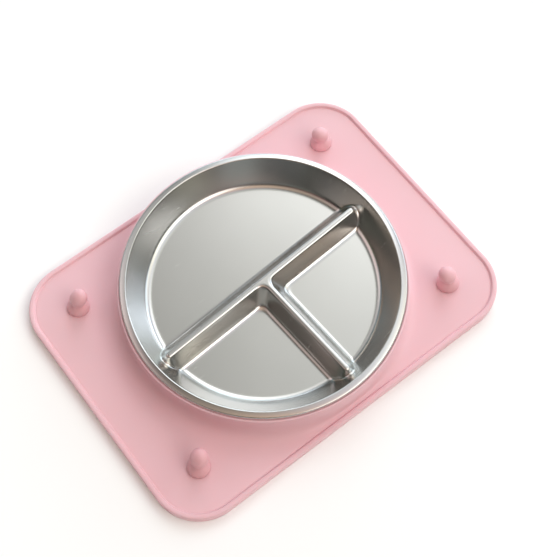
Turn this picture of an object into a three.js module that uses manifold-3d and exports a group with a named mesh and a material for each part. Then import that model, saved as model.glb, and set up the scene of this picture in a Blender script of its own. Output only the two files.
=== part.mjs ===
// Divided suction plate: a silicone placemat with a moulded seat ring, a pressed steel plate with
// three compartments that drops into the ring, and four pull-through suction cups at the corners.
// Millimetres, +Z up. The origin is the middle of the footprint, on the table top.
// +X runs along the mat's long side and the two small compartments face -Y.

import * as THREE from 'three';
import { mergeVertices } from 'three/addons/utils/BufferGeometryUtils.js';
import Module from 'manifold-3d';

const wasm = await Module();
wasm.setup();

// ---------------------------------------------------------------- driving dimensions

// placemat
const MAT_LENGTH = 291;
const MAT_WIDTH = 217;
const MAT_CORNER = 35;
const SHEET_UNDERSIDE = 4.8;
const SHEET_THICKNESS = 2.2;
const SHEET_TOP = SHEET_UNDERSIDE + SHEET_THICKNESS;
const BORDER_WIDTH = 5;
const BORDER_RISE = 1.6;
const BORDER_TOP = SHEET_TOP + BORDER_RISE;
const BORDER_BEVEL = 0.8;

// seat ring, moulded in one with the mat
const RING_OUTER = 101.8;
const RING_WALL = 5.3;
const RING_INNER = RING_OUTER - RING_WALL;
const RING_TOP = SHEET_TOP + 26.4;
const RING_FILLET = 5;
const RING_EDGE = 0.9;

// steel plate
const PLATE_TURN = THREE.MathUtils.degToRad(3.5);
const STEEL = 0.8;
const FLOOR_RADIUS = 80;
const FLOOR_TOP = SHEET_TOP + 10.9;
const FLOOR_FILLET = 4.9;
const WALL_DRAFT = THREE.MathUtils.degToRad(34.3);
const RIM_INNER = 95.3;
const RIM_TURN = 1.2;
const RIM_CREST = RIM_INNER + 0.6;
const RIM_OUTER = 100;
const RIM_TOP = SHEET_TOP + 29.7;
const RIM_SLOPE = 0.9;
const SEAT_GAP = 0.3;

// dividers pressed up from the plate's floor
const DIVIDER_RISE = 14.2;
const DIVIDER_TOP = FLOOR_TOP + DIVIDER_RISE;
const LONG_DIVIDER_SHIFT = 1;
const SHORT_DIVIDER_SHIFT = 1;
const DIVIDER_FOOT = 12.2;
const DIVIDER_FILLET = 5;
const DIVIDER_DRAFT = THREE.MathUtils.degToRad(27);
const DIVIDER_FLAT = 0.55;
const DIVIDER_ROUND = 2.2;

// suction cups
const CUP_PLACE_X = 110.4;
const CUP_PLACE_Y = 73.2;
const CUP_TRAVEL = 1;
const CUP_CLEARANCE = 0.2;
const CUP_RADIUS = 20;
const CUP_LIP = 3;
const CUP_LIP_EDGE = 0.9;
const CUP_SHOULDER = SHEET_UNDERSIDE - CUP_TRAVEL - CUP_CLEARANCE;
const CUP_SHOULDER_RADIUS = 8;
const CUP_SHOULDER_ROUND = 0.3;
const CUP_CROWN_UNDERSIDE = 2.2;
const NECK_RADIUS = 4;
const HOLE_RADIUS = 4.5;
const COLLAR_RADIUS = 8.3;
const COLLAR_GAP = 0.3;
const COLLAR_EDGE = 1.6;
const COLLAR_CONE = 4.4;
const COLLAR_ROOT = 0.9;
const STEM_RADIUS = 4.3;
const HEAD_RADIUS = 6.05;
const HEAD_CENTRE = SHEET_TOP + 16;
const HEAD_SIDE = 2.5;
const HEAD_UNDERCUT = 1;

// facets
const ROUND_SEGMENTS = 72;
const CUP_SEGMENTS = 24;
const CORNER_SEGMENTS = 6;
const FILLET_STEPS = 3;
const CROWN_STEPS = 2;
const HEAD_STEPS = 5;

// ---------------------------------------------------------------- materials

const silicone = new THREE.MeshStandardMaterial({ color: 0xf0c2c9, roughness: 0.6, metalness: 0 });
const steel = new THREE.MeshStandardMaterial({ color: 0xc9cccd, roughness: 0.28, metalness: 1 });
const cupSilicone = new THREE.MeshStandardMaterial({ color: 0xeab9c0, roughness: 0.5, metalness: 0 });

// ---------------------------------------------------------------- solids

// A closed three.js geometry as a solid that can be joined and cut.
function solid(geometry) {
  geometry.deleteAttribute('normal');
  geometry.deleteAttribute('uv');
  const merged = mergeVertices(geometry, 1e-4);
  const index = merged.index.array;
  const triangles = [];
  for (let i = 0; i < index.length; i += 3) {
    const [a, b, c] = index.slice(i, i + 3);
    if (a !== b && b !== c && c !== a) triangles.push(a, b, c);
  }
  return new wasm.Manifold(new wasm.Mesh({
    numProp: 3,
    vertProperties: new Float32Array(merged.attributes.position.array),
    triVerts: new Uint32Array(triangles),
  }));
}

// A joined or cut solid as a named mesh.
function namedMesh(name, body, material) {
  const { vertProperties, triVerts } = body.getMesh();
  const geometry = new THREE.BufferGeometry();
  geometry.setAttribute('position', new THREE.BufferAttribute(vertProperties, 3));
  geometry.setIndex(new THREE.BufferAttribute(triVerts, 1));
  geometry.computeVertexNormals();
  const mesh = new THREE.Mesh(geometry, material);
  mesh.name = name;
  return mesh;
}

// A profile of (radius, height) points turned about +Z.
function turned(points, segments) {
  const geometry = new THREE.LatheGeometry(points, segments);
  geometry.rotateX(Math.PI / 2);
  return solid(geometry);
}

// Points along an arc from one angle to another, both ends included.
function arc(cx, cy, radius, from, to, steps) {
  const curve = new THREE.EllipseCurve(cx, cy, radius, radius, from, to, to < from);
  return curve.getPoints(steps);
}

// A point given as (radius, height).
function at(radius, height) {
  return new THREE.Vector2(radius, height);
}

// A rectangle with round corners, inset from the mat's edge.
function matOutline(inset, PathType) {
  const x = MAT_LENGTH / 2 - inset;
  const y = MAT_WIDTH / 2 - inset;
  const r = MAT_CORNER - inset;
  const outline = new PathType();
  outline.moveTo(x, r - y);
  outline.absarc(x - r, y - r, r, 0, Math.PI / 2);
  outline.absarc(r - x, y - r, r, Math.PI / 2, Math.PI);
  outline.absarc(r - x, r - y, r, Math.PI, 1.5 * Math.PI);
  outline.absarc(x - r, r - y, r, 1.5 * Math.PI, 2 * Math.PI);
  return outline;
}

// ---------------------------------------------------------------- placemat

// The raised border stands on the table, and its two edges are rounded.
function matBorder() {
  const frame = matOutline(BORDER_BEVEL, THREE.Shape);
  frame.holes.push(matOutline(BORDER_WIDTH - BORDER_BEVEL, THREE.Path));
  const geometry = new THREE.ExtrudeGeometry(frame, {
    depth: BORDER_TOP - 2 * BORDER_BEVEL,
    bevelThickness: BORDER_BEVEL,
    bevelSize: BORDER_BEVEL,
    bevelSegments: 2,
    curveSegments: CORNER_SEGMENTS,
  });
  geometry.translate(0, 0, BORDER_BEVEL);
  return solid(geometry);
}

function matSheet() {
  const geometry = new THREE.ExtrudeGeometry(matOutline(BORDER_WIDTH / 2, THREE.Shape), {
    depth: SHEET_THICKNESS,
    bevelEnabled: false,
    curveSegments: CORNER_SEGMENTS,
  });
  geometry.translate(0, 0, SHEET_UNDERSIDE);
  return solid(geometry);
}

// The ring's wall runs into the sheet through a wide fillet, so food can be wiped out.
function seatRing() {
  const root = SHEET_TOP - SHEET_THICKNESS / 2;
  const filletCentre = RING_OUTER + RING_FILLET;
  const profile = [
    at(RING_INNER, root),
    at(filletCentre, root),
    ...arc(filletCentre, SHEET_TOP + RING_FILLET, RING_FILLET, 1.5 * Math.PI, Math.PI, FILLET_STEPS),
    ...arc(RING_OUTER - RING_EDGE, RING_TOP - RING_EDGE, RING_EDGE, 0, Math.PI / 2, CROWN_STEPS),
    at(RING_INNER, RING_TOP),
    at(RING_INNER, root),
  ];
  return turned(profile, ROUND_SEGMENTS);
}

function cupPlaces() {
  return [
    ['front_left', -CUP_PLACE_X, -CUP_PLACE_Y],
    ['front_right', CUP_PLACE_X, -CUP_PLACE_Y],
    ['rear_left', -CUP_PLACE_X, CUP_PLACE_Y],
    ['rear_right', CUP_PLACE_X, CUP_PLACE_Y],
  ];
}

function placemat() {
  let body = matBorder().add(matSheet()).add(seatRing());
  for (const [, x, y] of cupPlaces()) {
    const drill = new THREE.CylinderGeometry(HOLE_RADIUS, HOLE_RADIUS, BORDER_TOP, CUP_SEGMENTS);
    drill.rotateX(Math.PI / 2);
    drill.translate(x, y, SHEET_TOP);
    body = body.subtract(solid(drill));
  }
  return namedMesh('placemat', body, silicone);
}

// ---------------------------------------------------------------- divided plate

// One face of the pan's sheet, from the middle of the floor to the foot of the rim: the food side
// at an offset of 0, and the back at an offset of the sheet's thickness.
function panSide(offset) {
  const lean = Math.PI / 2 - WALL_DRAFT;
  const filletTop = at(
    FLOOR_RADIUS + FLOOR_FILLET * Math.sin(lean),
    FLOOR_TOP + FLOOR_FILLET * (1 - Math.cos(lean)),
  );
  const wallRise = RIM_TOP - RIM_TURN - filletTop.y;
  const wallTop = at(filletTop.x + wallRise * Math.tan(WALL_DRAFT), RIM_TOP - RIM_TURN);
  const shiftOut = offset / Math.cos(WALL_DRAFT);
  return [
    at(0, FLOOR_TOP - offset),
    ...arc(
      FLOOR_RADIUS,
      FLOOR_TOP + FLOOR_FILLET,
      FLOOR_FILLET + offset,
      1.5 * Math.PI,
      1.5 * Math.PI + lean,
      FILLET_STEPS,
    ),
    at(wallTop.x + shiftOut, wallTop.y),
  ];
}

// The sheet of the pan with its sloping rim and curled edge.
function panShell() {
  const edge = RIM_OUTER - STEEL;
  const rimEdgeTop = RIM_TOP - RIM_SLOPE;
  const curlBottom = RING_TOP + SEAT_GAP;
  const rim = [
    at(RIM_CREST, RIM_TOP - STEEL),
    at(edge, rimEdgeTop - STEEL),
    at(edge, curlBottom),
    at(RIM_OUTER, curlBottom),
    at(RIM_OUTER, rimEdgeTop - STEEL),
    at(edge, rimEdgeTop),
    at(RIM_CREST, RIM_TOP),
  ];
  return turned([...panSide(STEEL), ...rim, ...panSide(0).reverse()], ROUND_SEGMENTS);
}

// Everything inside the pan's sheet, up to the divider's top.
function panVolume(offset) {
  const side = panSide(offset);
  const wallFoot = side[side.length - 2];
  const wallTop = side[side.length - 1];
  const share = (DIVIDER_TOP + STEEL - wallFoot.y) / (wallTop.y - wallFoot.y);
  const cutAt = wallFoot.clone().lerp(wallTop, share);
  const profile = [...side.slice(0, -1), cutAt, at(0, cutAt.y)];
  return turned(profile, ROUND_SEGMENTS);
}

// A divider's cross-section, set in from its food side by a sheet thickness for the hollow below.
function dividerSection(inset, base) {
  const footHeight = FLOOR_TOP + DIVIDER_FILLET;
  const crownHeight = DIVIDER_TOP - DIVIDER_ROUND;
  const down = 1.5 * Math.PI;
  const wall = Math.PI + DIVIDER_DRAFT;
  const foot = arc(DIVIDER_FOOT, footHeight, DIVIDER_FILLET + inset, down, wall, FILLET_STEPS);
  const round = DIVIDER_ROUND - inset;
  const crown = arc(DIVIDER_FLAT, crownHeight, round, DIVIDER_DRAFT, Math.PI / 2, CROWN_STEPS);
  const right = [at(DIVIDER_FOOT, base), ...foot, ...crown];
  const left = right.map((p) => at(-p.x, p.y)).reverse();
  return new THREE.Shape([...right, ...left]);
}

// A straight divider bar along +X, from start to end.
function dividerBar(section, start, end) {
  const geometry = new THREE.ExtrudeGeometry(section, { depth: end - start, bevelEnabled: false });
  geometry.rotateX(Math.PI / 2);
  geometry.rotateZ(Math.PI / 2);
  geometry.translate(start, 0, 0);
  return geometry;
}

// The long divider crosses the plate and the short one runs from it to the front wall.
function dividers(inset, base, reach) {
  const section = dividerSection(inset, base);
  const long = dividerBar(section, -reach, reach);
  long.translate(0, LONG_DIVIDER_SHIFT, 0);
  const short = dividerBar(section, 0, reach);
  short.rotateZ(-Math.PI / 2);
  short.translate(SHORT_DIVIDER_SHIFT, 0, 0);
  return solid(long).add(solid(short));
}

function dividedPlate() {
  const raised = dividers(0, FLOOR_TOP - STEEL / 2, RIM_INNER).intersect(panVolume(STEEL / 2));
  const hollow = dividers(STEEL, FLOOR_TOP - 4 * STEEL, RIM_INNER);
  const body = panShell().add(raised).subtract(hollow);
  const mesh = namedMesh('divided_plate', body, steel);
  mesh.rotation.z = PLATE_TURN;
  return mesh;
}

// ---------------------------------------------------------------- suction cups

// One moulding: bullet head to pull through the hole, stem, locking collar, neck and cup.
function suctionCup() {
  const collarBottom = SHEET_TOP + COLLAR_GAP;
  const collarRim = collarBottom + COLLAR_EDGE;
  const headFoot = HEAD_CENTRE - HEAD_SIDE;
  const profile = [
    at(0, CUP_CROWN_UNDERSIDE),
    at(CUP_SHOULDER_RADIUS, CUP_CROWN_UNDERSIDE - CUP_SHOULDER_ROUND),
    at(CUP_RADIUS - CUP_LIP, 0),
    at(CUP_RADIUS, 0),
    at(CUP_RADIUS, CUP_LIP_EDGE),
    at(CUP_SHOULDER_RADIUS + CUP_SHOULDER_ROUND, CUP_SHOULDER - CUP_SHOULDER_ROUND),
    at(CUP_SHOULDER_RADIUS, CUP_SHOULDER),
    at(NECK_RADIUS, CUP_SHOULDER),
    at(NECK_RADIUS, collarBottom),
    at(COLLAR_RADIUS, collarBottom),
    at(COLLAR_RADIUS, collarRim),
    at(STEM_RADIUS + COLLAR_ROOT, collarRim + COLLAR_CONE),
    at(STEM_RADIUS, collarRim + COLLAR_CONE + COLLAR_ROOT),
    at(STEM_RADIUS, headFoot - HEAD_UNDERCUT),
    at(HEAD_RADIUS, headFoot),
    ...arc(0, HEAD_CENTRE, HEAD_RADIUS, 0, Math.PI / 2, HEAD_STEPS),
  ];
  return turned(profile, CUP_SEGMENTS);
}

function placedCup([place, x, y]) {
  const mesh = namedMesh(`suction_cup_${place}`, suctionCup(), cupSilicone);
  mesh.position.set(x, y, 0);
  return mesh;
}

// ---------------------------------------------------------------- assembly

const plateSet = new THREE.Group();
plateSet.add(placemat(), dividedPlate(), ...cupPlaces().map(placedCup));

export default plateSet;
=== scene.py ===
"""A divided steel plate in the seat ring of a silicone placemat, with four suction cups.

Metres. The origin is the middle of the placemat's footprint on the table, +X runs along the
placemat and the two small compartments face -Y.
"""

import math

import bmesh
import bpy
from mathutils import Matrix, Vector


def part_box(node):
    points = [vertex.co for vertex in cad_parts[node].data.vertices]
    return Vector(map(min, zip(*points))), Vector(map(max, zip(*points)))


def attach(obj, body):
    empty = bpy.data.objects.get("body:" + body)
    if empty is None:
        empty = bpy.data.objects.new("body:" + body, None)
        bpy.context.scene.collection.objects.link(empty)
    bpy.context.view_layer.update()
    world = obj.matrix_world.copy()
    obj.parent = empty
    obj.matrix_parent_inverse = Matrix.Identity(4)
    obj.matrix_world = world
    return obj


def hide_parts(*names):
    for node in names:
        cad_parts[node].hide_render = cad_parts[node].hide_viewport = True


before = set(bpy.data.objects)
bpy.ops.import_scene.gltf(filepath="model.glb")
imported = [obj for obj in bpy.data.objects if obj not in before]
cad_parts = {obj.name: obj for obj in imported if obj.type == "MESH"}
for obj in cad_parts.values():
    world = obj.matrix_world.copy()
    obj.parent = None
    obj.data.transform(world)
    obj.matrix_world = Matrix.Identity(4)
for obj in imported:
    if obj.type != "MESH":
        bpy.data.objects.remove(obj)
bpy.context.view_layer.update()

MM = 0.001

# ------------------------------------------------------------------ sizes, in millimetres

MAT_BOX = [[v / MM for v in corner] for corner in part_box("placemat")]
PLATE_BOX = [[v / MM for v in corner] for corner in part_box("divided_plate")]

# The placemat: a flat sheet in a raised border.
HALF_LENGTH = MAT_BOX[1][0]
HALF_WIDTH = MAT_BOX[1][1]
CORNER = 35.0
SHEET_TOP = 7.0
SHEET_UNDER = 4.8
HOLE_RADIUS = 4.5
BORDER_FOOT = 5.6
CORNER_STEPS = 40
SIDE_CUTS = 60

# The seat ring: a lip at the top, a waist under it and a foot that sweeps out to the sheet.
RING_OUTER = 101.8
RING_INNER = 96.5
RING_TOP = MAT_BOX[1][2]
RING_FOOT = 10.0
RING_FOOT_RISE = 17.0
RING_WAIST = 100.5
RING_TO_BORDER = 0.6
RING_BLEND = 6.0
RING_STEPS = 240
FOOT_STEPS = 14
FOOT_SWEEP = 2.2

# The pressed plate, by its food side. The CAD sheet is thicker than the real one.
CAD_SHEET = 0.8
FLOOR = PLATE_BOX[0][2] + CAD_SHEET
PLATE_TURN = math.radians(3.5)
FLOOR_RADIUS = 79.1
FLOOR_FILLET = 6.6
WALL_DRAFT = math.radians(34.3)
RIM_TOP = PLATE_BOX[1][2]
CREST_ROUND = 0.9
RIM_SLOPE = math.radians(12.4)
RIM_OUTER = 100.0
BEAD = 1.1
STEEL = 0.6

# The T of dividers: rise and half widths from the spine, with rounded crown and foot.
DIVIDER_RISE = 14.2
DIVIDER_SHIFT = 1.0
DIVIDER_FOOT = 12.2
DIVIDER_FILLET = 5.0
DIVIDER_DRAFT = math.radians(27.0)
DIVIDER_FLAT = 0.55
DIVIDER_ROUND = 2.2
LONG_REACH = 83.5
SHORT_REACH = 84.5
CORNER_BLEND = 7.0
VALLEY_BLEND = 5.0

# The pan's grid is drawn together over the dividers.
PAN_CELLS = 132
FINE_SHARE = 0.43
FINE_REACH = 20.0 / 78.0
GRID_MARGIN = 2.0
WALL_STEPS = 24

# The cups, whose soft pegs lean a little towards the plate.
CUP_X = 110.4
CUP_Y = 73.2
PEG_HEAD_CENTRE = 22.7
PEG_HEAD_RADIUS = 6.35
PEG_LEAN_START = 8.0
PEG_LEAN = (2.2, 1.1)
PEG_STIFFNESS = 0.4
CUP_STEPS = 64

TABLE_HALF = 15000.0
TABLE_GAP = 0.2


# ------------------------------------------------------------------ mesh helpers


def link_piece(name, bm, material):
    """Turn a bmesh in millimetres into a smooth object at the origin."""
    bmesh.ops.scale(bm, vec=(MM, MM, MM), verts=bm.verts)
    mesh = bpy.data.meshes.new(name)
    bm.to_mesh(mesh)
    bm.free()
    mesh.shade_smooth()
    mesh.materials.append(material)
    piece = bpy.data.objects.new(name, mesh)
    bpy.context.scene.collection.objects.link(piece)
    return piece


def closed_piece(name, bm, material, sharp):
    """Turn a closed bmesh into an object, its faces outwards and its corners sharp."""
    bmesh.ops.recalc_face_normals(bm, faces=bm.faces)
    piece = link_piece(name, bm, material)
    piece.data.set_sharp_from_angle(angle=math.radians(sharp))
    return piece


def open_edges(bm):
    return [e for e in bm.edges if e.is_boundary]


def step_out(bm, edges, place):
    """Extrude a loop of edges and put each new vertex where place says."""
    made = bmesh.ops.extrude_edge_only(bm, edges=edges)["geom"]
    for v in (g for g in made if isinstance(g, bmesh.types.BMVert)):
        v.co = place(v.co)
    return [g for g in made if isinstance(g, bmesh.types.BMEdge)]


def arc(cx, cz, radius, start, end, steps):
    """Points of an arc in a (radius, height) section, angles in degrees from outwards."""
    angles = [math.radians(start + (end - start) * i / steps) for i in range(steps + 1)]
    return [(cx + radius * math.cos(a), cz + radius * math.sin(a)) for a in angles]


# ------------------------------------------------------------------ placemat


def outline_place(inset, z):
    """Move a point of the placemat's outline to a given inset and height."""

    def place(co):
        core_x = max(CORNER - HALF_LENGTH, min(HALF_LENGTH - CORNER, co.x))
        core_y = max(CORNER - HALF_WIDTH, min(HALF_WIDTH - CORNER, co.y))
        out = Vector((co.x - core_x, co.y - core_y))
        out.normalize()
        reach = CORNER - inset
        return Vector((core_x + out.x * reach, core_y + out.y * reach, z))

    return place


def ring_place(radius, z):
    """Move a point of a circle about the origin to a given radius and height."""

    def place(co):
        out = Vector((co.x, co.y)).normalized()
        return Vector((out.x * radius, out.y * radius, z))

    return place


def border_foot(direction):
    """How far the border's inner foot is from the middle along a direction."""
    reach = []
    if abs(direction.x) > 1e-6:
        reach.append((HALF_LENGTH - BORDER_FOOT) / abs(direction.x))
    if abs(direction.y) > 1e-6:
        reach.append((HALF_WIDTH - BORDER_FOOT) / abs(direction.y))
    return min(reach)


BORDER_SECTION = (
    [(5.0, SHEET_UNDER), (5.0, 0.8), (4.2, 0.0), (0.9, 0.0)]
    + [(0.35, 0.2), (0.05, 0.9), (0.0, 4.0), (0.0, 7.2)]
    + [(0.08, 7.75), (0.35, 8.2), (0.8, 8.5), (1.4, 8.6), (2.9, 8.6)]
    + [(3.25, 8.5), (3.5, 8.2), (3.7, 7.7), (3.9, 7.15), (4.15, 6.8), (4.45, 6.65)]
    + [(4.75, 6.7), (5.1, 6.85), (5.35, 6.96), (BORDER_FOOT, SHEET_TOP)]
)


def placemat(material):
    bm = bmesh.new()
    bmesh.ops.create_grid(bm, x_segments=1, y_segments=1, size=1.0)
    bmesh.ops.scale(bm, vec=(HALF_LENGTH, HALF_WIDTH, 1), verts=bm.verts)
    bmesh.ops.bevel(
        bm,
        geom=bm.verts[:],
        affect="VERTICES",
        offset=CORNER,
        segments=CORNER_STEPS,
        profile=0.5,
        material=-1,
    )
    bmesh.ops.delete(bm, geom=bm.faces[:], context="FACES_ONLY")
    sides = [e for e in bm.edges if e.calc_length() > CORNER]
    bmesh.ops.subdivide_edges(bm, edges=sides, cuts=SIDE_CUTS)
    for v in bm.verts:
        v.co = outline_place(*BORDER_SECTION[0])(v.co)
    under = bm.edges[:]
    loop = under
    for inset, z in BORDER_SECTION[1:]:
        loop = step_out(bm, loop, outline_place(inset, z))
    border_top = loop

    # The ring's foot narrows where the border comes near, so the two never run into each other.
    def foot_place(share, rise):
        def place(co):
            out = Vector((co.x, co.y)).normalized()
            near_border = border_foot(out) - RING_OUTER - RING_TO_BORDER
            room = smooth_smaller(RING_FOOT, near_border, RING_BLEND)
            radius = RING_WAIST + (RING_OUTER + room - RING_WAIST) * share
            return Vector((out.x * radius, out.y * radius, SHEET_TOP + RING_FOOT_RISE * rise))

        return place

    circle = bmesh.ops.create_circle(bm, segments=RING_STEPS, radius=RING_OUTER)["verts"]
    ring_foot = list({e for v in circle for e in v.link_edges})
    start = foot_place(1.0, 0.0)
    for v in circle:
        v.co = start(v.co)
    loop = ring_foot
    for i in range(1, FOOT_STEPS + 1):
        up = i / FOOT_STEPS
        loop = step_out(bm, loop, foot_place((1 - up) ** FOOT_SWEEP, up**FOOT_SWEEP))
    for radius, z in (
        [(RING_WAIST, 26.5), (RING_WAIST + 0.1, 28.6), (RING_WAIST + 0.45, 29.9)]
        + [(RING_WAIST + 1.0, 30.8), (RING_OUTER, 31.6)]
        + arc(RING_OUTER - 0.9, RING_TOP - 0.9, 0.9, 0, 140, 8)
        + [(RING_OUTER - 1.9, RING_TOP - 0.8), (RING_OUTER - 2.5, RING_TOP - 0.7)]
        + [(RING_OUTER - 3.1, RING_TOP - 0.15), (RING_OUTER - 3.6, RING_TOP)]
        + arc(RING_INNER + 0.5, RING_TOP - 0.5, 0.5, 90, 180, 4)
        + [(RING_INNER, 20.0), (RING_INNER, 9.0)]
        + arc(RING_INNER - 1.5, SHEET_TOP + 1.5, 1.5, 0, -90, 4)
        + [(RING_INNER - 2.5, SHEET_TOP)]
    ):
        loop = step_out(bm, loop, ring_place(radius, z))
    bmesh.ops.edgeloop_fill(bm, edges=loop)

    # Four holes through the sheet for the necks of the cups.
    hole_top = []
    hole_under = []
    for x, y in cup_places():
        spot = Matrix.Translation((x, y, SHEET_TOP))
        rim = bmesh.ops.create_circle(bm, segments=32, radius=HOLE_RADIUS, matrix=spot)["verts"]
        edges = list({e for v in rim for e in v.link_edges})
        hole_top += edges
        hole_under += step_out(bm, edges, lambda co: Vector((co.x, co.y, SHEET_UNDER)))
    bmesh.ops.triangle_fill(
        bm, use_beauty=True, edges=border_top + ring_foot + hole_top, normal=(0, 0, 1)
    )
    bmesh.ops.triangle_fill(bm, use_beauty=True, edges=under + hole_under, normal=(0, 0, -1))
    return closed_piece("placemat_moulding", bm, material, sharp=40.0)


# ------------------------------------------------------------------ steel plate


def smooth_smaller(a, b, blend):
    near = max(blend - abs(a - b), 0.0) / blend
    return min(a, b) - near * near * blend / 4


def divider_rise(distance):
    """Height of a divider above the floor at a distance from its spine."""
    if distance <= DIVIDER_FLAT:
        return DIVIDER_RISE
    crown_end = DIVIDER_FLAT + DIVIDER_ROUND * math.cos(DIVIDER_DRAFT)
    if distance <= crown_end:
        drop = math.sqrt(DIVIDER_ROUND**2 - (distance - DIVIDER_FLAT) ** 2)
        return DIVIDER_RISE - DIVIDER_ROUND + drop
    fillet_start = DIVIDER_FOOT - DIVIDER_FILLET * math.cos(DIVIDER_DRAFT)
    if distance <= fillet_start:
        top = DIVIDER_RISE - DIVIDER_ROUND * (1 - math.sin(DIVIDER_DRAFT))
        foot = DIVIDER_FILLET * (1 - math.sin(DIVIDER_DRAFT))
        share = (distance - crown_end) / (fillet_start - crown_end)
        return top + (foot - top) * share
    if distance < DIVIDER_FOOT:
        return DIVIDER_FILLET - math.sqrt(DIVIDER_FILLET**2 - (DIVIDER_FOOT - distance) ** 2)
    return 0.0


def pan_rise(radius):
    """Height of the pan above its floor at a radius, below the rim."""
    out = radius - FLOOR_RADIUS
    fillet_end = FLOOR_FILLET * math.cos(WALL_DRAFT)
    if out <= 0:
        return 0.0
    if out <= fillet_end:
        return FLOOR_FILLET - math.sqrt(FLOOR_FILLET**2 - out**2)
    foot = FLOOR_FILLET * (1 - math.sin(WALL_DRAFT))
    return foot + (out - fillet_end) / math.tan(WALL_DRAFT)


def spine_distance(x, y):
    """Distance in plan from the T of the two dividers' spines."""
    end = max(abs(x) - LONG_REACH, 0.0)
    long = math.hypot(end, y - DIVIDER_SHIFT)
    if y >= DIVIDER_SHIFT:
        return long
    end = max(-y - SHORT_REACH, 0.0)
    short = math.hypot(x - DIVIDER_SHIFT, end)
    return smooth_smaller(long, short, CORNER_BLEND)


def pressed_height(x, y):
    """Height of the food side of the pan, below the rim: the higher of wall and divider, with a
    rounded valley between them that fades out on the flat floor."""
    wall = pan_rise(math.hypot(x, y))
    divider = divider_rise(spine_distance(x, y))
    blend = min(VALLEY_BLEND, wall + divider)
    if blend <= 0:
        return FLOOR
    return FLOOR - smooth_smaller(-wall, -divider, blend)


def rim_section():
    """The rim from the top of the wall to the end of its rolled edge."""
    wall_angle = 180 - math.degrees(WALL_DRAFT)
    slope_angle = 90 - math.degrees(RIM_SLOPE)
    foot_out = FLOOR_RADIUS + FLOOR_FILLET * math.cos(WALL_DRAFT)
    foot_up = FLOOR + FLOOR_FILLET * (1 - math.sin(WALL_DRAFT))
    touch_up = RIM_TOP - CREST_ROUND * (1 - math.sin(math.radians(wall_angle)))
    touch_out = foot_out + (touch_up - foot_up) * math.tan(WALL_DRAFT)
    crest_x = touch_out - CREST_ROUND * math.cos(math.radians(wall_angle))
    crest = arc(crest_x, RIM_TOP - CREST_ROUND, CREST_ROUND, wall_angle, slope_angle, 6)
    bead_x = RIM_OUTER - BEAD
    run = bead_x + BEAD * math.sin(RIM_SLOPE) - crest[-1][0]
    bead_start = crest[-1][1] - run * math.tan(RIM_SLOPE)
    bead = arc(bead_x, bead_start - BEAD * math.cos(RIM_SLOPE), BEAD, slope_angle, -190, 14)
    half = ((crest[-1][0] + bead[0][0]) / 2, (crest[-1][1] + bead[0][1]) / 2)
    return crest + [half] + bead


def plate(material):
    bm = bmesh.new()
    bmesh.ops.create_grid(bm, x_segments=PAN_CELLS, y_segments=PAN_CELLS, size=1.0)

    def spread(t):
        """Draw the grid's lines together over the dividers."""
        if abs(t) <= FINE_SHARE:
            return t * FINE_REACH / FINE_SHARE
        rest = (abs(t) - FINE_SHARE) / (1 - FINE_SHARE)
        return math.copysign(FINE_REACH + rest * (1 - FINE_REACH), t)

    inner = FLOOR_RADIUS - GRID_MARGIN
    for v in bm.verts:
        u, w = spread(v.co.x), spread(v.co.y)
        x = inner * u * math.sqrt(1 - w * w / 2)
        y = inner * w * math.sqrt(1 - u * u / 2)
        v.co = Vector((x, y, pressed_height(x, y)))
    loop = open_edges(bm)
    rim = rim_section()
    for i in range(1, WALL_STEPS + 1):
        radius = inner + (rim[0][0] - inner) * i / WALL_STEPS

        def on_wall(co, radius=radius):
            out = Vector((co.x, co.y)).normalized() * radius
            return Vector((out.x, out.y, pressed_height(out.x, out.y)))

        loop = step_out(bm, loop, on_wall)
    for radius, z in rim[1:]:
        loop = step_out(bm, loop, ring_place(radius, z))
    bmesh.ops.rotate(
        bm, cent=(0, 0, 0), matrix=Matrix.Rotation(PLATE_TURN, 3, "Z"), verts=bm.verts
    )
    bmesh.ops.recalc_face_normals(bm, faces=bm.faces)
    middle = min(bm.faces, key=lambda f: f.calc_center_median().length)
    if middle.normal.z < 0:
        bmesh.ops.reverse_faces(bm, faces=bm.faces)
    piece = link_piece("pressed_plate", bm, material)
    sheet = piece.modifiers.new("sheet thickness", "SOLIDIFY")
    sheet.thickness = STEEL * MM
    sheet.offset = -1.0
    return piece


# ------------------------------------------------------------------ suction cups


def cup_places():
    return [(-CUP_X, -CUP_Y), (CUP_X, -CUP_Y), (-CUP_X, CUP_Y), (CUP_X, CUP_Y)]


CUP_SECTION = (
    [(0.0, 2.2), (5.0, 2.15), (8.5, 1.95), (12.0, 1.3), (15.0, 0.55), (16.6, 0.1), (17.2, 0.0)]
    + [(19.3, 0.0), (19.8, 0.15), (20.0, 0.5), (19.8, 0.85), (19.2, 1.0), (16.0, 1.75)]
    + [(12.5, 2.6), (9.6, 3.2), (8.2, 3.5), (7.4, 3.58), (5.0, 3.6), (4.4, 3.7), (4.0, 4.1)]
    + [(4.0, 6.8), (4.2, 7.2), (4.6, 7.3), (7.3, 7.3), (7.75, 7.4), (8.0, 7.75), (8.1, 8.4)]
    + [(8.1, 9.0), (7.95, 9.9), (7.65, 10.8), (7.2, 11.7), (6.6, 12.6), (5.9, 13.4)]
    + [(5.2, 14.1), (4.65, 14.8), (4.3, 15.5), (4.05, 16.3), (4.0, 17.2), (4.1, 17.8)]
    + [(4.35, 18.15), (4.7, 18.4), (5.3, 19.2), (5.8, 20.1), (6.1, 20.9), (6.28, 21.8)]
)


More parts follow.
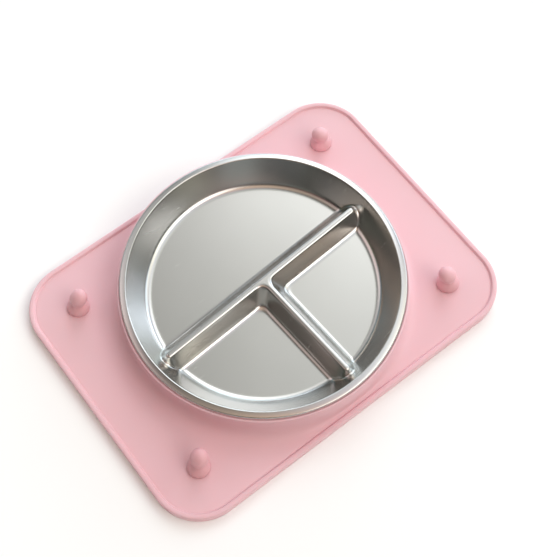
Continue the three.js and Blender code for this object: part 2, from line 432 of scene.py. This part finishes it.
def cup(name, x, y, material):
    bm = bmesh.new()
    head = arc(0.0, PEG_HEAD_CENTRE, PEG_HEAD_RADIUS, 0, 90, 14)
    section = CUP_SECTION + head[:-1] + [(0.0, head[-1][1])]
    points = [bm.verts.new((radius, 0, z)) for radius, z in section]
    edges = [bm.edges.new(pair) for pair in zip(points, points[1:])]
    bmesh.ops.spin(
        bm,
        geom=points + edges,
        axis=(0, 0, 1),
        cent=(0, 0, 0),
        angle=math.tau,
        steps=CUP_STEPS,
        use_merge=True,
    )
    bmesh.ops.remove_doubles(bm, verts=bm.verts, dist=0.001)
    # The lean starts at the collar and grows up the stem.
    for v in bm.verts:
        lean = max(0.0, v.co.z - PEG_LEAN_START) / (PEG_HEAD_CENTRE - PEG_LEAN_START)
        bend = lean * lean / (PEG_STIFFNESS + (1 - PEG_STIFFNESS) * lean)
        v.co.x -= math.copysign(PEG_LEAN[0], x) * bend
        v.co.y -= math.copysign(PEG_LEAN[1], y) * bend
    bmesh.ops.translate(bm, vec=(x, y, 0), verts=bm.verts)
    return closed_piece(name, bm, material, sharp=60.0)


# ------------------------------------------------------------------ finishes


def linear(hex_colour):
    """An sRGB hex colour as linear RGBA."""
    parts = [int(hex_colour[i : i + 2], 16) / 255 for i in (1, 3, 5)]
    return tuple(p / 12.92 if p <= 0.04045 else ((p + 0.055) / 1.055) ** 2.4 for p in parts) + (1,)


def node(tree, kind, links=None, values=None, **settings):
    """Add a node with its settings and socket values, and link sockets to it."""
    made = tree.nodes.new(kind)
    for name, setting in settings.items():
        setattr(made, name, setting)
    for socket, value in (values or {}).items():
        made.inputs[socket].default_value = value
    for socket, source in (links or {}).items():
        tree.links.new(source, made.inputs[socket])
    return made


def new_finish(name):
    finish = bpy.data.materials.new(name)
    finish.use_nodes = True
    finish.node_tree.nodes.clear()
    return finish, finish.node_tree


def moulded_silicone(name, pale, deep, roughness):
    """Platinum silicone from an etched mould: matt, a little waxy, with a fine even grain."""
    finish, tree = new_finish(name)
    place = node(tree, "ShaderNodeTexCoord").outputs["Object"]
    # Patches about 110 mm wide where the pigment is a shade deeper, and a mould grain of 0.7 mm,
    # drawn coarser than the real 0.1 mm so that it shows.
    patches = {"Scale": 9.0, "Detail": 2.0}
    cloud = node(tree, "ShaderNodeTexNoise", {"Vector": place}, patches).outputs["Fac"]
    etching = {"Scale": 1400.0, "Detail": 2.0}
    grain = node(tree, "ShaderNodeTexNoise", {"Vector": place}, etching).outputs["Fac"]
    pigment = node(tree, "ShaderNodeValToRGB", {"Fac": cloud})
    for stop, position, colour in zip(pigment.color_ramp.elements, (0.3, 0.7), (deep, pale)):
        stop.position = position
        stop.color = linear(colour)
    range_ends = {"To Min": roughness - 0.05, "To Max": roughness + 0.05}
    rough = node(tree, "ShaderNodeMapRange", {"Value": grain}, range_ends)
    relief = {"Strength": 0.12, "Distance": 0.05 * MM}
    bump = node(tree, "ShaderNodeBump", {"Height": grain}, relief)
    shader = node(
        tree,
        "ShaderNodeBsdfPrincipled",
        {
            "Base Color": pigment.outputs["Color"],
            "Roughness": rough.outputs["Result"],
            "Normal": bump.outputs["Normal"],
        },
        {
            "IOR": 1.41,
            "Subsurface Weight": 0.15,
            "Subsurface Radius": (1.0, 0.45, 0.4),
            "Subsurface Scale": 2.0 * MM,
        },
    )
    node(tree, "ShaderNodeOutputMaterial", {"Surface": shader.outputs["BSDF"]})
    return finish


def satin_steel(name):
    """Pressed stainless steel, satin polished: soft wide reflections and a faint straight grain."""
    finish, tree = new_finish(name)
    place = node(tree, "ShaderNodeTexCoord").outputs["Object"]
    # The grain's lines are 17 mm long and 0.4 mm apart, coarser than a real polish so that they
    # show, and patches about 70 mm wide are a shade lighter or darker.
    stretch = {"Scale": (1.0, 40.0, 1.0)}
    along = node(tree, "ShaderNodeMapping", {"Vector": place}, stretch).outputs["Vector"]
    lines = {"Scale": 60.0, "Detail": 3.0}
    grain = node(tree, "ShaderNodeTexNoise", {"Vector": along}, lines).outputs["Fac"]
    patches = {"Scale": 14.0, "Detail": 2.0}
    cloud = node(tree, "ShaderNodeTexNoise", {"Vector": place}, patches).outputs["Fac"]
    tint = node(tree, "ShaderNodeValToRGB", {"Fac": cloud})
    for stop, colour in zip(tint.color_ramp.elements, ("#BDBBB7", "#C9C7C3")):
        stop.color = linear(colour)
    rough = node(tree, "ShaderNodeMapRange", {"Value": grain}, {"To Min": 0.23, "To Max": 0.29})
    relief = {"Strength": 0.01, "Distance": 0.05 * MM}
    bump = node(tree, "ShaderNodeBump", {"Height": grain}, relief)
    shader = node(
        tree,
        "ShaderNodeBsdfPrincipled",
        {
            "Base Color": tint.outputs["Color"],
            "Roughness": rough.outputs["Result"],
            "Normal": bump.outputs["Normal"],
        },
        {"Metallic": 1.0},
    )
    node(tree, "ShaderNodeOutputMaterial", {"Surface": shader.outputs["BSDF"]})
    return finish


def white_table(name):
    """Matt white painted board: no shine, and a tone that wanders very slightly."""
    finish, tree = new_finish(name)
    place = node(tree, "ShaderNodeTexCoord").outputs["Object"]
    patches = {"Scale": 3.0, "Detail": 2.0}
    cloud = node(tree, "ShaderNodeTexNoise", {"Vector": place}, patches).outputs["Fac"]
    tint = node(tree, "ShaderNodeValToRGB", {"Fac": cloud})
    for stop, colour in zip(tint.color_ramp.elements, ("#FBFCFB", "#FEFFFE")):
        stop.color = linear(colour)
    shader = node(
        tree,
        "ShaderNodeBsdfPrincipled",
        {"Base Color": tint.outputs["Color"]},
        {"Roughness": 0.9, "Specular IOR Level": 0.1},
    )
    node(tree, "ShaderNodeOutputMaterial", {"Surface": shader.outputs["BSDF"]})
    return finish


mat_finish = moulded_silicone("moulded silicone, matt pink", "#E9C1C7", "#E5BAC0", 0.55)
cup_finish = moulded_silicone("moulded silicone, satin pink", "#E3B2B7", "#DEAAAF", 0.40)
steel_finish = satin_steel("pressed stainless steel, satin")

mat_piece = placemat(mat_finish)
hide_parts("placemat")
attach(mat_piece, "placemat")

plate_piece = plate(steel_finish)
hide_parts("divided_plate")
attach(plate_piece, "divided_plate")

for place_name, (cup_x, cup_y) in zip(
    ("front_left", "front_right", "rear_left", "rear_right"), cup_places()
):
    cup_piece = cup(f"pull_through_cup_{place_name}", cup_x, cup_y, cup_finish)
    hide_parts(f"suction_cup_{place_name}")
    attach(cup_piece, f"cup_{place_name}")

# ------------------------------------------------------------------ table, camera and light

table = bmesh.new()
bmesh.ops.create_grid(table, x_segments=1, y_segments=1, size=TABLE_HALF)
bmesh.ops.translate(table, vec=(0, 0, -TABLE_GAP), verts=table.verts)
table_piece = link_piece("table", table, white_table("painted board, matt white"))

VIEW_TURN = math.radians(-36.07)
VIEW_RISE = math.radians(66.49)
VIEW_ROLL = math.radians(-1.39)
VIEW_DISTANCE = 0.8057
LOOK_AT = Vector((0.0095, 0.0091, 0.007))

away = Vector(
    (
        math.sin(VIEW_TURN) * math.cos(VIEW_RISE),
        -math.cos(VIEW_TURN) * math.cos(VIEW_RISE),
        math.sin(VIEW_RISE),
    )
)
right = Vector((0, 0, 1)).cross(away).normalized()
up = away.cross(right)
rolled_right = right * math.cos(VIEW_ROLL) + up * math.sin(VIEW_ROLL)
rolled_up = up * math.cos(VIEW_ROLL) - right * math.sin(VIEW_ROLL)
lens = bpy.data.cameras.new("camera")
lens.lens = 72.22
lens.sensor_width = 36.0
lens.clip_start = 0.01
camera = bpy.data.objects.new("camera", lens)
turn = Matrix((rolled_right, rolled_up, away)).transposed().to_4x4()
camera.matrix_world = Matrix.Translation(LOOK_AT + away * VIEW_DISTANCE) @ turn
bpy.context.scene.collection.objects.link(camera)
bpy.context.scene.camera = camera

far = Vector((-away.x, -away.y, 0)).normalized()

PALE_WALL = "#F7F5F3"

# Soft lamps round the object: turn, rise and reach in degrees, strength, colour.
GLOWS = [
    (0, 67, 27, 0.60, "#C8DCFF"),
    (60, 67, 27, 0.91, "#FCFFF9"),
    (240, 67, 27, 0.52, "#FFEDDA"),
    (300, 67, 27, 0.55, "#FFCCA5"),
    (15, 45, 23, 1.43, "#FFF8E2"),
    (45, 45, 23, 0.16, "#8A8DFF"),
    (75, 45, 23, 3.12, "#F7FAFF"),
    (105, 45, 23, 0.14, "#FFFAE7"),
    (135, 45, 23, 0.77, "#FCFDFF"),
    (165, 45, 23, 1.09, "#FFE5E5"),
    (195, 45, 23, 0.61, "#FFF1EC"),
    (225, 45, 23, 0.12, "#FF8989"),
    (315, 45, 23, 3.18, "#FFF6F1"),
    (345, 45, 23, 2.45, "#FBFFF7"),
    (30, 24, 21, 2.05, "#DEEEFF"),
    (60, 24, 21, 0.52, "#F1FFEB"),
    (90, 24, 21, 1.27, "#E4F4FF"),
    (150, 24, 21, 0.21, "#A0E0FF"),
    (180, 24, 21, 0.07, "#8EFF8A"),
    (240, 24, 21, 0.18, "#F6FFF3"),
    (270, 24, 21, 0.22, "#FFFAF9"),
    (300, 24, 21, 0.12, "#FFBAB4"),
    (45, 6, 18, 5.34, "#E3F0FF"),
    (75, 6, 18, 4.40, "#D8F1FF"),
    (105, 6, 18, 3.67, "#E6F3FF"),
    (135, 6, 18, 0.66, "#E0FCFF"),
    (255, 6, 18, 0.10, "#EBF6FF"),
    (285, 6, 18, 0.40, "#EFFFFF"),
    (315, 6, 18, 0.37, "#FDFFEA"),
]


def towards(turn, rise):
    """A direction from the object: degrees round from the view's right towards its far side, and
    degrees above the table."""
    turn, rise = math.radians(turn), math.radians(rise)
    level = right * math.cos(turn) + far * math.sin(turn)
    return level * math.cos(rise) + Vector((0, 0, math.sin(rise)))


def studio(name):
    """A dark room whose glows light the object, and which is itself seen as a plain pale wall."""
    room = bpy.data.worlds.new(name)
    room.use_nodes = True
    tree = room.node_tree
    tree.nodes.clear()
    looking = node(tree, "ShaderNodeTexCoord").outputs["Generated"]
    total = None
    for turn, rise, reach, strength, colour in GLOWS:
        facing = node(
            tree,
            "ShaderNodeVectorMath",
            {0: looking},
            {1: towards(turn, rise)},
            operation="DOT_PRODUCT",
        )
        fade = node(
            tree,
            "ShaderNodeMapRange",
            {"Value": facing.outputs["Value"]},
            {"From Min": math.cos(math.radians(reach)), "From Max": 1.0},
            interpolation_type="SMOOTHSTEP",
        )
        glow = node(
            tree,
            "ShaderNodeVectorMath",
            {"Scale": fade.outputs["Result"]},
            {0: [c * strength for c in linear(colour)[:3]]},
            operation="SCALE",
        ).outputs["Vector"]
        if total is not None:
            glow = node(tree, "ShaderNodeVectorMath", {0: total, 1: glow}).outputs["Vector"]
        total = glow
    lit = node(tree, "ShaderNodeBackground", {"Color": total})
    wall = node(tree, "ShaderNodeBackground", values={"Color": linear(PALE_WALL)})
    both = node(
        tree,
        "ShaderNodeMixShader",
        {
            0: node(tree, "ShaderNodeLightPath").outputs["Is Camera Ray"],
            1: lit.outputs["Background"],
            2: wall.outputs["Background"],
        },
    )
    node(tree, "ShaderNodeOutputWorld", {"Surface": both.outputs["Shader"]})
    return room


bpy.context.scene.world = studio("studio")

bpy.context.scene.view_settings.view_transform = "Standard"
